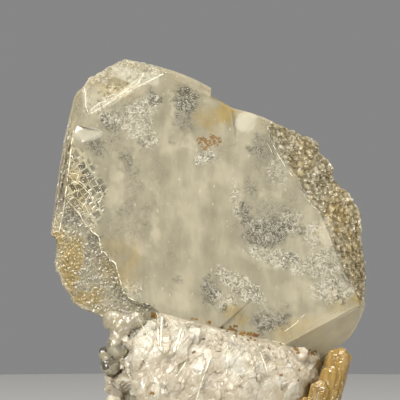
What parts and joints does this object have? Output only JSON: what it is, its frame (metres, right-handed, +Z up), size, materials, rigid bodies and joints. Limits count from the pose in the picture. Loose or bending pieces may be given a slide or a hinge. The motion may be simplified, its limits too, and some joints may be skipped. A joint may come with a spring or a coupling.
{
  "type": "barite crystal specimen",
  "caption": "Large clear tabular barite crystal with stepped, etched edges, grown on a crust of small pale crystals with a flat cut underside.",
  "frame": {"origin": "middle of the bounding box at the flat cut underside", "axes": "+Z up, +X to the right along the tabular crystal's broad face seen from its front, -Y out of that front face"},
  "size_m": [0.063, 0.0328, 0.0803],
  "materials": {
    "clear_barite": "clear to milky, glassy, pale yellow at the rims",
    "pale_crust": "whitish pink, glassy small crystals",
    "amber_barite": "honey coloured, striated",
    "clear_growth": "glassy, rounded",
    "iron_stain": "orange-brown, dull"
  },
  "bodies": {
    "root": {"barite_plate": "clear_barite", "crystal_base": "pale_crust", "amber_crystal": "amber_barite", "clear_side_crystals": "clear_growth"}
  },
  "joints": []
}
